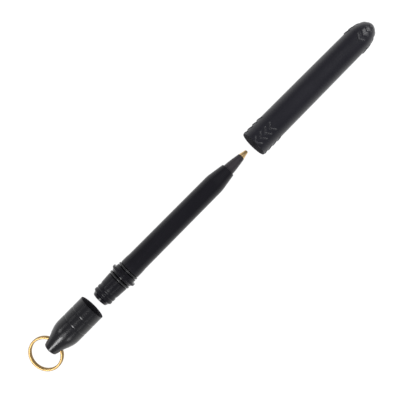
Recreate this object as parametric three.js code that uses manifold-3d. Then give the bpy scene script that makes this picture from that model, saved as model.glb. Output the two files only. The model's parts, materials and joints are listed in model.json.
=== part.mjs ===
// Pocket pen, shown open: a barrel with its writing point, a cap pulled off the front
// and an end cap with a key ring pulled off the rear.
// Units are millimetres. The pen's axis is X, with the writing point towards +X, and
// +Z is up. The origin is the centre of the barrel's flat rear face.

import * as THREE from 'three';
import { mergeVertices } from 'three/addons/utils/BufferGeometryUtils.js';
import Module from 'manifold-3d';

// Facets round the large and the small turned pieces
const largeFacets = 32;
const smallFacets = 24;
const sealSectionFacets = 10;
const [ballFacets, ballRows] = [16, 12];
const flangeSteps = 4;

// Clearances
const seatGap = 0.3;            // between pieces that seat on each other
const slideGap = 0.1;           // between a cap's mouth and the flange it closes on
const rearSealGap = 0.07;       // between the rear seal ring and the end cap
const frontSealGap = 0.14;      // between the front seal ring and the cap
const ballGap = 0.05;           // between the writing ball and its seat
const pointGap = 0.2;           // between the writing ball and the closed cap's inside

// Barrel, from its rear face forwards
const barrelLength = 72.2;
const barrelRadius = 4.33;
const barrelTaper = 0.09;       // radius lost between the flange and the shoulder
const shoulderLength = 7.45;
const shoulderRound = 0.9;
const frontRimWidth = 0.58;
const frontEdgeRound = 0.15;
const spigotRadius = 4.37;
const spigotFlare = 0.31;       // radius gained between the ribs and the rear seal
const leadInDepth = 0.7;
const leadInLength = 1.1;
const rearFaceInset = 1.12;     // from the spigot's side to the rear face's edge
const ribCount = 2;
const ribHeight = 0.2;
const ribLength = 0.75;
const ribSlope = 0.3;
const ribPitch = 1.75;
const rearRibPlace = 1.75;
const ribRunOut = 0.4;          // from the last rib's groove to where the flare starts
const rearLandLength = 0.1;     // between the rear seal's groove and the flange
const collarLength = 1.15;      // between the flange and the front seal's groove
const frontLandLength = 2.7;    // of the raised land ahead of the front seal
const frontLandHeight = 0.15;
const frontLandFall = 1.5;
const flangeStart = 11.95;
const flangeFootHeight = 0.12;  // radius gained from the rear seal to the flange
const flangeRearSlope = 0.95;
const flangeTopLength = 0.95;
const flangeFrontSlope = 0.15;
const flangeInset = 0.08;       // how far the flange stays under the cap's mouth
const boreEndWall = 2.0;

// Seal rings
const rearSealThickness = 1.0;
const rearSealProud = 0.25;
const frontSealThickness = 0.84;
const frontSealProud = 0.46;
const collarInset = 0.05;       // how far the collar stays under the front seal ring

// Refill: nose cone, brass point, ball, tube and ink
const noseConeLength = 7.4;
const noseConeRadius = 2.47;
const noseConeFrontRadius = 1.47;
const noseConeCurve = 1.4;
const noseSpigotRadius = 1.8;
const noseSpigotLength = 5.0;
const barbRadius = 0.9;
const barbLength = 3.0;
const inkChannelRadius = 0.4;
const pointLength = 2.8;
const pointBaseRadius = 1.3;
const pointBaseLength = 0.45;
const pointLipRadius = 0.68;
const pointShankRadius = 0.65;
const pointShankLength = 3.6;
const pointChannelRadius = 0.25;
const ballRadius = 0.5;
const ballProud = 0.2;
const inkTubeWall = 0.4;
const inkTubeEndSpace = 6.4;    // between the tube's open rear end and the bore's end
const inkTubeEmptyLength = 13.7; // of the tube, behind the follower
const followerLength = 2.0;

// Cap, from its mouth to its domed top
const capOffset = 3.7;          // from the writing ball to the open cap's mouth
const capLipWall = 0.83;
const capWall = 0.95;
const capTopWall = 0.5;
const capTaper = 0.3;
const capTaperCurve = 1.6;
const capDomeLength = 10;
const capSealDepth = 3.5;
const capBoreStep = 1.5;
const capRimRound = 0.25;

// Raised chevrons on the cap, in columns round it, with their tips towards the mouth
const chevronColumns = 4;
const chevronHeight = 0.25;
const chevronPitch = 2.65;
const chevronReach = 2.2;
const chevronSweep = 2.0;
const chevronTipThickness = 1.3;
const chevronArmThickness = 0.5;
const chevronTurn = 3;          // degrees that the columns are turned, towards -Y
const mouthChevronPlace = -0.6; // the cap's mouth cuts the first row
const mouthChevronCount = 4;
const topChevronInset = 11.5;   // from the cap's top
const topChevronCount = 4;
const topChevronNarrowing = 0.85;

// End cap, from its mouth to its nose
const endCapOffset = 4.15;      // from the barrel's rear face to the open end cap's mouth
const endCapLipWall = 0.7;
const endCapWall = 0.85;
const endCapSealDepth = 3.2;
const endCapBoreStep = 0.8;
const endCapBoreSpare = 0.35;
const endCapBoreEndWall = 0.9;
const endCapShoulderRound = 0.8;
const endCapNoseLength = 8.15;
const endCapNoseRadius = 2.95;
const endCapTipLength = 0.95;
const endCapRimRound = 0.2;
const fineGroovePlaces = [5.1, 9.55];
const fineGrooveWidth = 0.5;
const fineGrooveDepth = 0.2;

// Key ring: a split ring of flat wire in two turns
const ringOuterRadius = 7.25;
const wireWidth = 1.05;
const wireHeight = 0.62;
const wireChamfer = 0.12;
const turnSpacing = 1.05;
const ringDroop = 17;           // degrees below level
const ringEndAngle = 0;         // where the wire's ends lie, inside the ring's hole
const ringStepsPerTurn = 32;
const crossoverHalfAngle = 14;
const wireEndAngle = 19;
const ringHoleInset = 3.6;      // from the end cap's tip
const ringHoleRadius = 1.6;
const ringHoleFlare = 0.7;

const wasm = await Module();
wasm.setup();

// Points of a quarter ellipse between two ends, flat at the first end and steep at the
// second.
function hollowCurve([x0, r0], [x1, r1]) {
  const points = [];
  for (let i = 0; i <= flangeSteps; i++) {
    const angle = (Math.PI / 2) * (i / flangeSteps);
    points.push([x0 + (x1 - x0) * Math.sin(angle), r0 + (r1 - r0) * (1 - Math.cos(angle))]);
  }
  return points;
}

// Three points that round the corner where a level side starts to fall.
function roundedShoulder(x, radius, size, fall) {
  return [[x - size, radius], [x, radius - (size * fall) / 4], [x + size, radius - size * fall]];
}

// A turned piece round X. Its outline is a list of [x, radius] points that runs along
// the outside towards +X and back along the inside.
function turned(outline, facets) {
  const profile = outline.map(([x, radius]) => new THREE.Vector2(radius, x));
  return new THREE.LatheGeometry(profile, facets).rotateZ(-Math.PI / 2);
}

// The same for a hollow piece, whose outline comes back to its first point.
function turnedRing(outline, facets) {
  return turned([...outline, outline[0]], facets);
}

function asSolid(geometry) {
  const bare = geometry.clone();
  bare.deleteAttribute('normal');
  bare.deleteAttribute('uv');
  const merged = mergeVertices(bare, 1e-5);
  const triangles = [];
  const index = merged.index.array;
  for (let i = 0; i < index.length; i += 3) {
    const [a, b, c] = [index[i], index[i + 1], index[i + 2]];
    if (a !== b && b !== c && c !== a) triangles.push(a, b, c);
  }
  const mesh = new wasm.Mesh({
    numProp: 3,
    vertProperties: new Float32Array(merged.attributes.position.array),
    triVerts: new Uint32Array(triangles),
  });
  return new wasm.Manifold(mesh);
}

function asGeometry(solid) {
  const mesh = solid.getMesh();
  const geometry = new THREE.BufferGeometry();
  geometry.setAttribute('position', new THREE.BufferAttribute(mesh.vertProperties, 3));
  geometry.setIndex(new THREE.BufferAttribute(mesh.triVerts, 1));
  geometry.computeVertexNormals();
  return geometry;
}

// Sizes that follow from the ones above
const spigotEndRadius = spigotRadius + spigotFlare;
const rearSealRadius = spigotEndRadius + rearSealProud;
const frontSealRadius = barrelRadius + frontSealProud;
const collarRadius = frontSealRadius - collarInset;
const capSealBore = frontSealRadius + frontSealGap;
const capMouthRadius = capSealBore + capLipWall;
const flangeRadius = capMouthRadius - flangeInset;
const flangeFootRadius = spigotEndRadius + flangeFootHeight;
const frontLandRadius = barrelRadius + frontLandHeight;
const flangeTopStart = flangeStart + flangeRearSlope;
const flangeTopEnd = flangeTopStart + flangeTopLength;
const flangeEnd = flangeTopEnd + flangeFrontSlope;
const rearSealPlace = flangeStart - rearLandLength - seatGap - rearSealThickness / 2;
const frontSealPlace = flangeEnd + collarLength + seatGap + frontSealThickness / 2;
const boreRadius = noseSpigotRadius + seatGap;
const coneBase = barrelLength + seatGap;
const pointBase = coneBase + noseConeLength + seatGap;
const pointEnd = pointBase + pointLength;
const ballCentre = pointEnd + ballProud - ballRadius;
const ballEnd = ballCentre + ballRadius;
const capStop = flangeEnd + slideGap;
const capInnerLength = ballEnd + pointGap - capStop;
const capLength = capInnerLength + capTopWall;
const capMouth = ballEnd + capOffset;
const capTopRadius = capMouthRadius - capTaper;
const capStraightLength = capLength - capDomeLength;
const endCapSealBore = rearSealRadius + rearSealGap;
const endCapRadius = endCapSealBore + endCapLipWall;
const endCapBore = endCapRadius - endCapWall;
const endCapBoreDepth = flangeTopStart + seatGap + endCapBoreSpare;
const endCapBodyLength = endCapBoreDepth + endCapBoreEndWall;
const endCapMouth = -endCapOffset;
const endCapNoseFall = (endCapRadius - endCapNoseRadius) / endCapNoseLength;
const ringHolePlace = endCapBodyLength + endCapNoseLength + endCapTipLength - ringHoleInset;
// The end cap's radius where the key ring's hole comes out of its side
const ringHoleSide = endCapRadius - endCapNoseFall * (ringHolePlace - endCapBodyLength);
const ringRadius = ringOuterRadius - wireWidth / 2;
// The wire is an arc, so its middle lies past the hole's axis and its sides before it
const ringRise = ringRadius - Math.sqrt(ringRadius ** 2 - ringHoleSide ** 2);
const ringCentreOffset = ringRadius - ringRise / 2;
const inkTubeBore = barbRadius + seatGap;
const inkTubeFront = coneBase - noseSpigotLength - seatGap;
const inkTubeRear = boreEndWall + inkTubeEndSpace;
const inkRadius = inkTubeBore - seatGap;
const inkFront = inkTubeFront - barbLength;
const followerRear = inkTubeRear + inkTubeEmptyLength;
const inkRear = followerRear + followerLength + seatGap;

function sealGroove(place, thickness, outerRadius) {
  const halfWidth = thickness / 2 + seatGap;
  return {
    start: place - halfWidth,
    end: place + halfWidth,
    floor: outerRadius - thickness - seatGap,
  };
}

function makeBarrel() {
  const rear = sealGroove(rearSealPlace, rearSealThickness, rearSealRadius);
  const front = sealGroove(frontSealPlace, frontSealThickness, frontSealRadius);
  const ribRoot = spigotRadius - ribHeight;
  const outline = [[0, 0], [0, spigotRadius - rearFaceInset]];
  outline.push([leadInLength, spigotRadius - leadInDepth]);
  for (let i = 0; i < ribCount; i++) {
    const start = rearRibPlace + ribPitch * i;
    outline.push([start, spigotRadius], [start + ribLength, spigotRadius]);
    outline.push([start + ribLength + ribSlope, ribRoot]);
    outline.push([start + ribPitch - ribSlope, ribRoot]);
  }
  const flareStart = rearRibPlace + ribPitch * ribCount + ribRunOut;
  const landEnd = front.end + frontLandLength;
  const shoulderStart = barrelLength - shoulderLength;
  const shoulderRadius = barrelRadius - barrelTaper;
  const frontRadius = noseConeRadius + frontRimWidth;
  const shoulderFall = (shoulderRadius - frontRadius) / shoulderLength;
  outline.push(
    [flareStart, spigotRadius],
    [rear.start, spigotEndRadius],
    [rear.start, rear.floor],
    [rear.end, rear.floor],
    ...hollowCurve([flangeStart, flangeFootRadius], [flangeTopStart, flangeRadius]),
    ...hollowCurve([flangeEnd, collarRadius], [flangeTopEnd, flangeRadius]).reverse(),
    [front.start, collarRadius],
    [front.start, front.floor],
    [front.end, front.floor],
    [front.end, frontLandRadius],
    [landEnd, frontLandRadius],
    [landEnd + frontLandFall, barrelRadius],
    ...roundedShoulder(shoulderStart, shoulderRadius, shoulderRound, shoulderFall),
    [barrelLength - frontEdgeRound, frontRadius],
    [barrelLength, frontRadius - frontEdgeRound],
    [barrelLength, boreRadius],
    [boreEndWall, boreRadius],
    [boreEndWall, 0],
  );
  return turned(outline, largeFacets);
}

// A rubber ring of round section, seated in its groove.
function makeSealRing(place, thickness, outerRadius) {
  const size = thickness / 2;
  const ring = new THREE.TorusGeometry(outerRadius - size, size, sealSectionFacets, largeFacets);
  return ring.rotateY(Math.PI / 2).translate(place, 0, 0);
}

// The cone that plugs the barrel: a spigot in the barrel's bore, a barb for the ink
// tube behind it, and a socket for the brass point in front.
function makeNoseCone() {
  const spigotEnd = coneBase - noseSpigotLength;
  const barbEnd = spigotEnd - barbLength;
  const coneEnd = coneBase + noseConeLength;
  const socketRadius = pointShankRadius + seatGap;
  const socketEnd = pointBase - pointShankLength - seatGap;
  const outline = [[barbEnd, inkChannelRadius], [barbEnd, barbRadius], [spigotEnd, barbRadius]];
  outline.push([spigotEnd, noseSpigotRadius], [coneBase, noseSpigotRadius]);
  const steps = 5;
  for (let i = 0; i <= steps; i++) {
    const along = i / steps;
    const lost = (noseConeRadius - noseConeFrontRadius) * along ** noseConeCurve;
    outline.push([coneBase + noseConeLength * along, noseConeRadius - lost]);
  }
  outline.push([coneEnd, socketRadius], [socketEnd, socketRadius], [socketEnd, inkChannelRadius]);
  return turnedRing(outline, smallFacets);
}

// The turned brass point, whose lip holds the ball in a round seat.
function makePointSocket() {
  const shankStart = pointBase - pointShankLength;
  const seatRadius = ballRadius + ballGap;
  const lipPlace = pointEnd - ballCentre;
  const lipAngle = Math.acos(lipPlace / seatRadius);
  const channelAngle = Math.PI - Math.asin(pointChannelRadius / seatRadius);
  const outline = [
    [shankStart, pointChannelRadius],
    [shankStart, pointShankRadius],
    [pointBase, pointShankRadius],
    [pointBase, pointBaseRadius],
    [pointBase + pointBaseLength, pointBaseRadius],
    [pointEnd, pointLipRadius],
  ];
  const steps = 6;
  for (let i = 0; i <= steps; i++) {
    const angle = lipAngle + (channelAngle - lipAngle) * (i / steps);
    outline.push([ballCentre + seatRadius * Math.cos(angle), seatRadius * Math.sin(angle)]);
  }
  return turnedRing(outline, smallFacets);
}

function makeWritingBall() {
  return new THREE.SphereGeometry(ballRadius, ballFacets, ballRows).translate(ballCentre, 0, 0);
}

function makeInkTube() {
  const outer = inkTubeBore + inkTubeWall;
  const outline = [[inkTubeRear, inkTubeBore], [inkTubeRear, outer]];
  outline.push([inkTubeFront, outer], [inkTubeFront, inkTubeBore]);
  return turnedRing(outline, smallFacets);
}

// A plain rod of ink or grease inside the tube.
function makeFilling(rear, front) {
  return turned([[rear, 0], [rear, inkRadius], [front, inkRadius], [front, 0]], smallFacets);
}

// The cap is drawn with its mouth at X 0 and its top towards +X. Its outer side tapers
// slowly and ends in an oval dome. A margin moves the whole surface out or in.
function capSide(along, margin) {
  return capMouthRadius - capTaper * (along / capStraightLength) ** capTaperCurve + margin;
}

function capOuterLine(margin) {
  const points = [];
  const straightSteps = 6;
  for (let i = 1; i <= straightSteps; i++) {
    const along = capStraightLength * (i / straightSteps);
    points.push([along, capSide(along, margin)]);
  }
  const domeSteps = 9;
  for (let i = 1; i <= domeSteps; i++) {
    const angle = (Math.PI / 2) * (i / domeSteps);
    const along = capStraightLength + (capDomeLength + margin) * Math.sin(angle);
    const radius = (capTopRadius + margin) * Math.cos(angle);
    points.push([along, i === domeSteps ? 0 : radius]);
  }
  return points;
}

function capInnerLine() {
  const points = [[0, capSealBore], [capSealDepth, capSealBore]];
  const start = capSealDepth + capBoreStep;
  const straightSteps = 4;
  for (let i = 0; i <= straightSteps; i++) {
    const along = start + (capStraightLength - start) * (i / straightSteps);
    points.push([along, capSide(along, -capWall)]);
  }
  const domeSteps = 6;
  for (let i = 1; i <= domeSteps; i++) {
    const angle = (Math.PI / 2) * (i / domeSteps);
    const along = capStraightLength + (capInnerLength - capStraightLength) * Math.sin(angle);
    const radius = (capTopRadius - capWall) * Math.cos(angle);
    points.push([along, i === domeSteps ? 0 : radius]);
  }
  return points;
}

// One chevron as a prism that crosses the cap's wall, on the +Z side.
function chevronPrism(place, scale) {
  const reach = chevronReach * scale;
  const sweep = chevronSweep * scale;
  const outline = new THREE.Shape([
    new THREE.Vector2(place, 0),
    new THREE.Vector2(place + sweep, -reach),
    new THREE.Vector2(place + sweep + chevronArmThickness, -reach),
    new THREE.Vector2(place + chevronTipThickness, 0),
    new THREE.Vector2(place + sweep + chevronArmThickness, reach),
    new THREE.Vector2(place + sweep, reach),
  ]);
  const inside = capTopRadius / 2;
  const depth = capMouthRadius;
  const prism = new THREE.ExtrudeGeometry(outline, { depth, bevelEnabled: false });
  return prism.translate(0, 0, inside);
}

function makeCap() {
  const rim = [[0, capMouthRadius - capRimRound], [capRimRound, capMouthRadius]];
  const shell = turned([[0, capSealBore], ...rim, ...capOuterLine(0), ...capInnerLine().reverse()],
    largeFacets);
  const depth = capWall / 2;
  const raised = turned([
    [capRimRound, capMouthRadius - depth],
    [capRimRound, capMouthRadius],
    [2 * capRimRound, capMouthRadius + chevronHeight],
    ...capOuterLine(chevronHeight),
    ...capOuterLine(-depth).reverse(),
    [capRimRound, capMouthRadius - depth],
  ], largeFacets);
  const rows = [];
  for (let i = 0; i < mouthChevronCount; i++) {
    rows.push([mouthChevronPlace + chevronPitch * i, 1]);
  }
  for (let i = 0; i < topChevronCount; i++) {
    rows.push([capLength - topChevronInset + chevronPitch * i, topChevronNarrowing ** i]);
  }
  const prisms = [];
  for (const [place, scale] of rows) {
    for (let column = 0; column < chevronColumns; column++) {
      const turn = THREE.MathUtils.degToRad(chevronTurn + (360 * column) / chevronColumns);
      prisms.push(asSolid(chevronPrism(place, scale).rotateX(turn)));
    }
  }
  const chevrons = wasm.Manifold.union(prisms).intersect(asSolid(raised));
  return asGeometry(asSolid(shell).add(chevrons));
}

// The end cap is drawn with its mouth at X 0 and its nose towards +X.
function makeEndCap() {
  const noseStart = endCapBodyLength;
  const noseEnd = noseStart + endCapNoseLength;
  const outline = [[0, endCapSealBore], [0, endCapRadius - endCapRimRound]];
  outline.push([endCapRimRound, endCapRadius]);
  for (const place of fineGroovePlaces) {
    outline.push([place - fineGrooveWidth / 2, endCapRadius]);
    outline.push([place, endCapRadius - fineGrooveDepth]);
    outline.push([place + fineGrooveWidth / 2, endCapRadius]);
  }
  outline.push(...roundedShoulder(noseStart, endCapRadius, endCapShoulderRound, endCapNoseFall));
  const tipSteps = 4;
  for (let i = 0; i <= tipSteps; i++) {
    const angle = (Math.PI / 2) * (i / tipSteps);
    const radius = i === tipSteps ? 0 : endCapNoseRadius * Math.cos(angle);
    outline.push([noseEnd + endCapTipLength * Math.sin(angle), radius]);
  }
  outline.push([endCapBoreDepth, 0], [endCapBoreDepth, endCapBore]);
  outline.push([endCapSealDepth + endCapBoreStep, endCapBore], [endCapSealDepth, endCapSealBore]);
  outline.push([0, endCapSealBore]);
  return asGeometry(asSolid(turned(outline, largeFacets)).subtract(ringHole()));
}

// The hole that the key ring passes through, along Y, with flared mouths.
function ringHole() {
  const flareStart = ringHoleSide - ringHoleFlare;
  const flareEnd = ringHoleSide + ringHoleFlare;
  const mouthRadius = ringHoleRadius + flareEnd - flareStart;
  const outline = [
    [0, -flareEnd],
    [mouthRadius, -flareEnd],
    [ringHoleRadius, -flareStart],
    [ringHoleRadius, flareStart],
    [mouthRadius, flareEnd],
    [0, flareEnd],
  ];
  const profile = outline.map(([radius, y]) => new THREE.Vector2(radius, y));
  const cutter = new THREE.LatheGeometry(profile, smallFacets);
  return asSolid(cutter.translate(ringHolePlace, 0, 0));
}

// The wire's height above the ring's middle plane at an angle from the crossover.
function wireLayer(angle) {
  const half = THREE.MathUtils.degToRad(crossoverHalfAngle);
  const t = THREE.MathUtils.smoothstep(angle, -half, half);
  return turnSpacing * (t - 0.5);
}

const [wireHalfWidth, wireHalfHeight] = [wireWidth / 2, wireHeight / 2];
const wireSection = [
  [wireHalfWidth, -wireHalfHeight + wireChamfer],
  [wireHalfWidth, wireHalfHeight - wireChamfer],
  [wireHalfWidth - wireChamfer, wireHalfHeight],
  [-wireHalfWidth + wireChamfer, wireHalfHeight],
  [-wireHalfWidth, wireHalfHeight - wireChamfer],
  [-wireHalfWidth, -wireHalfHeight + wireChamfer],
  [-wireHalfWidth + wireChamfer, -wireHalfHeight],
  [wireHalfWidth - wireChamfer, -wireHalfHeight],
];

// The wire's section at an angle from the crossover, as a flat list of coordinates.
function wirePoints(angle) {
  const turn = THREE.MathUtils.degToRad(ringEndAngle) + angle;
  return wireSection.flatMap(([out, up]) => {
    const radius = ringRadius + out;
    return [radius * Math.cos(turn), radius * Math.sin(turn), up + wireLayer(angle)];
  });
}

// The split ring lies level in its own XY plane, its centre at the origin. The wire
// goes once round, crosses to the second layer and goes once round again.
function makeKeyRing() {
  const end = 2 * Math.PI - THREE.MathUtils.degToRad(wireEndAngle);
  const half = THREE.MathUtils.degToRad(crossoverHalfAngle);
  const angles = [];
  const longSteps = ringStepsPerTurn - 2;
  const crossSteps = 6;
  for (let i = 0; i < longSteps; i++) angles.push(-end + (end - half) * (i / longSteps));
  for (let i = 0; i < crossSteps; i++) angles.push(-half + 2 * half * (i / crossSteps));
  for (let i = 0; i <= longSteps; i++) angles.push(half + (end - half) * (i / longSteps));
  const positions = angles.flatMap(wirePoints);
  const triangles = [];
  const n = wireSection.length;
  for (let i = 0; i < angles.length - 1; i++) {
    for (let j = 0; j < n; j++) {
      const a = i * n + j;
      const b = i * n + ((j + 1) % n);
      triangles.push(a, a + n, b, b, a + n, b + n);
    }
  }
  const last = (angles.length - 1) * n;
  for (let j = 1; j < n - 1; j++) {
    triangles.push(0, j, j + 1, last, last + j + 1, last + j);
  }
  const geometry = new THREE.BufferGeometry();
  geometry.setAttribute('position', new THREE.Float32BufferAttribute(positions, 3));
  geometry.setIndex(triangles);
  geometry.computeVertexNormals();
  reportGap(end);
  return geometry;
}

// Prints the least gap between the wire's two turns, measured on points of its section.
function reportGap(end) {
  const step = THREE.MathUtils.degToRad(1);
  const nearTurn = THREE.MathUtils.degToRad(30);
  let least = Infinity;
  for (let here = -end; here < end; here += step) {
    const points = wirePoints(here);
    const first = here + 2 * Math.PI - nearTurn;
    const last = Math.min(here + 2 * Math.PI + nearTurn, end);
    for (let there = first; there <= last; there += step) {
      const others = wirePoints(there);
      for (let i = 0; i < points.length; i += 3) {
        for (let j = 0; j < others.length; j += 3) {
          const [x, y, z] = [0, 1, 2].map((k) => others[j + k] - points[i + k]);
          least = Math.min(least, Math.hypot(x, y, z));
        }
      }
    }
  }
  console.log(`key ring: least gap between its turns ${least.toFixed(3)} mm`);
}

function material(color, roughness, metalness) {
  return new THREE.MeshStandardMaterial({ color, roughness, metalness });
}

const capPlastic = material(0x26262b, 0.45, 0);
const barrelPlastic = material(0x1b1a1f, 0.4, 0);
const conePlastic = material(0x3a3638, 0.45, 0);
const rubber = material(0x141416, 0.7, 0);
const brass = material(0xb98f4e, 0.3, 1);
const goldPlate = material(0xd2a45e, 0.25, 1);
const carbide = material(0x8c8f94, 0.15, 1);
const clearPlastic = material(0xd8dbe0, 0.3, 0);
const ink = material(0x0c0d14, 0.5, 0);
const grease = material(0xc9b26a, 0.4, 0);

function piece(name, geometry, surface) {
  const mesh = new THREE.Mesh(geometry, surface);
  mesh.name = name;
  return mesh;
}

const pen = new THREE.Group();

pen.add(piece('barrel', makeBarrel(), barrelPlastic));
const frontSeal = makeSealRing(frontSealPlace, frontSealThickness, frontSealRadius);
const rearSeal = makeSealRing(rearSealPlace, rearSealThickness, rearSealRadius);
pen.add(piece('front_seal_ring', frontSeal, rubber));
pen.add(piece('rear_seal_ring', rearSeal, rubber));
pen.add(piece('nose_cone', makeNoseCone(), conePlastic));
pen.add(piece('point_socket', makePointSocket(), brass));
pen.add(piece('writing_ball', makeWritingBall(), carbide));
pen.add(piece('ink_tube', makeInkTube(), clearPlastic));
pen.add(piece('ink_column', makeFilling(inkRear, inkFront), ink));
const follower = makeFilling(followerRear, followerRear + followerLength);
pen.add(piece('ink_follower', follower, grease));

const cap = piece('cap', makeCap(), capPlastic);
cap.position.x = capMouth;
pen.add(cap);

const endCap = piece('end_cap', makeEndCap(), capPlastic);
endCap.position.x = endCapMouth;
endCap.rotation.z = Math.PI;
pen.add(endCap);

// The ring hangs on its hole's axis, its far side below level.
const ringHanger = new THREE.Group();
ringHanger.position.x = endCapMouth - ringHolePlace;
ringHanger.rotation.y = -THREE.MathUtils.degToRad(ringDroop);
const keyRing = piece('key_ring', makeKeyRing(), goldPlate);
keyRing.position.x = -ringCentreOffset;
ringHanger.add(keyRing);
pen.add(ringHanger);

export default pen;
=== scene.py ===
"""Looks of a pocket pen, shown open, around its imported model.

The pen's axis is X, with the writing point towards +X. Sizes are in millimetres, and
each mesh turns them into metres as it is made. The constants' angles are in degrees.
"""

import json
import math

import bmesh
import bpy
from mathutils import Matrix, Vector


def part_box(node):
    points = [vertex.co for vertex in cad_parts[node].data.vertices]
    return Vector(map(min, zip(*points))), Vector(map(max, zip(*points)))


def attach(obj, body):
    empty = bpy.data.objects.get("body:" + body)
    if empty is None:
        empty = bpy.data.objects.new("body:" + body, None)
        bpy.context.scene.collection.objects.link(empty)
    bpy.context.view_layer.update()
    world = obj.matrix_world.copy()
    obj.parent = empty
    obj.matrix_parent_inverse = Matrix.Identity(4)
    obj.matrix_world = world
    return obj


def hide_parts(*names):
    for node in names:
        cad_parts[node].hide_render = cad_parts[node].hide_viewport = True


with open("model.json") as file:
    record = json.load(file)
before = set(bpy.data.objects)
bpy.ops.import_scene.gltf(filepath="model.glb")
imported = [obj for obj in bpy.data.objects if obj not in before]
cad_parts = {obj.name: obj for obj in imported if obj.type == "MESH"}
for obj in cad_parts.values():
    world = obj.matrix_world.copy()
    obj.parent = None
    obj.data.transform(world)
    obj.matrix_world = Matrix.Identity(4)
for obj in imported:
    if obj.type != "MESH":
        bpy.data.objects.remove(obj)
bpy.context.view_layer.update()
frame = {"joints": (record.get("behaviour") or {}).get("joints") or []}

MM = 0.001


def box(node):
    """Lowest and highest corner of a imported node, in millimetres."""
    low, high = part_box(node)
    return low / MM, high / MM


def joint(name):
    return next(j for j in frame["joints"] if j["name"] == name)


# Facets round the turned pieces
LARGE_FACETS = 256
CAP_FACETS = 360
SMALL_FACETS = 128
BALL_FACETS = 64

# Steps along curves
ROUND_STEPS = 6
SECTION_STEPS = 24
FLANGE_STEPS = 10
CONE_STEPS = 16
SEAT_STEPS = 12
MENISCUS_STEPS = 8
BORE_DOME_STEPS = 16
NOSE_STEPS = 24
TIP_STEPS = 12
HOLE_FLARE_STEPS = 10
WIRE_CORNER_STEPS = 5
RING_STEPS = 360

# Places and sizes read from the frame
BARREL_LENGTH = box("barrel")[1].x
FLANGE_RADIUS = box("barrel")[1].y
CONE_REAR, CONE_FRONT = (corner.x for corner in box("nose_cone"))
CONE_RADIUS = box("nose_cone")[1].y
POINT_REAR, POINT_FRONT = (corner.x for corner in box("point_socket"))
POINT_BASE_RADIUS = box("point_socket")[1].y
BALL_FRONT = box("writing_ball")[1].x
BALL_RADIUS = box("writing_ball")[1].y
BALL_CENTRE = BALL_FRONT - BALL_RADIUS
CAP_MOUTH, CAP_TIP = (corner.x for corner in box("cap"))
CAP_LENGTH = CAP_TIP - CAP_MOUTH
END_CAP_MOUTH = box("end_cap")[1].x
END_CAP_RADIUS = box("end_cap")[1].y
RING_OUTER_RADIUS = box("key_ring")[1].y
RING_HOLE = joint("ring_swing")["pos_m"][0] / MM
FLOOR_LEVEL = box("cap")[0].z

# Clearances: between pieces that seat on each other, and where they seem to touch
SEAT_GAP = 0.3
TOUCH_GAP = 0.02

# Rounded corners. An arc takes at most this share of a side next to it.
EDGE_ROUND = 0.12
FINE_ROUND = EDGE_ROUND / 2
RIM_ROUND = 0.1
LARGEST_ROUND_SHARE = 0.45

# Below this radius, a turned piece's point lies on the axis
AXIS_RADIUS = 1e-6

# Barrel, from its rear face forwards
BARREL_RADIUS = 4.33
BARREL_TAPER = 0.09
SHOULDER_LENGTH = 7.45
SHOULDER_ROUND = 14.0
FRONT_RIM_RADIUS = 3.05
BORE_RADIUS = 2.1
BORE_END_WALL = 2.0
REAR_FACE_RADIUS = 3.25
LEAD_IN_LENGTH = 1.1
LEAD_IN_RADIUS = 3.67
SPIGOT_RADIUS = 4.37
SPIGOT_END_RADIUS = 4.68
RIB_COUNT = 2
RIB_PLACE = 1.75
RIB_PITCH = 1.75
RIB_LENGTH = 0.75
RIB_SLOPE = 0.3
RIB_HEIGHT = 0.2
RIB_RUN_OUT = 0.4
FLANGE_START = 11.95
FLANGE_FOOT_RADIUS = 4.8
FLANGE_FOOT_LENGTH = 0.45
FLANGE_FOOT_RISE = 0.18
FLANGE_TOP_START = 12.9
FLANGE_TOP_END = 13.85
FLANGE_END = 14.0
FLANGE_ROUND = 0.2
FLANGE_HOLLOW_ROUND = 0.5
COLLAR_RADIUS = 4.74
FRONT_LAND_LENGTH = 2.7
FRONT_LAND_RADIUS = 4.48
FRONT_LAND_FALL = 1.5

# Nose cone, brass point and refill
CONE_FRONT_RADIUS = 1.47
CONE_CURVE = 1.4
CONE_SPIGOT_LENGTH = 5.0
CONE_SPIGOT_RADIUS = 1.8
BARB_RADIUS = 0.9
INK_CHANNEL_RADIUS = 0.4
POINT_BASE_LENGTH = 0.45
POINT_LIP_RADIUS = 0.68
POINT_SHANK_RADIUS = 0.65
POINT_CHANNEL_RADIUS = 0.25
BALL_SEAT_GAP = 0.05
MENISCUS_SHARE = 0.25           # depth of a liquid's hollow end, as a share of its radius

# Cap, from its mouth to its domed top
CAP_MOUTH_RADIUS = 5.76
CAP_TAPER = 0.3
CAP_TAPER_CURVE = 1.6
CAP_DOME_LENGTH = 10.0
CAP_SEAL_BORE = 4.93
CAP_SEAL_DEPTH = 3.5
CAP_BORE_STEP = 1.5
CAP_WALL = 0.95
CAP_TOP_WALL = 0.5
CAP_STRAIGHT_LENGTH = CAP_LENGTH - CAP_DOME_LENGTH
CAP_TOP_RADIUS = CAP_MOUTH_RADIUS - CAP_TAPER

# Bevel inside both caps' mouths
MOUTH_BEVEL = 0.4
MOUTH_BEVEL_DEPTH = 0.6

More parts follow.
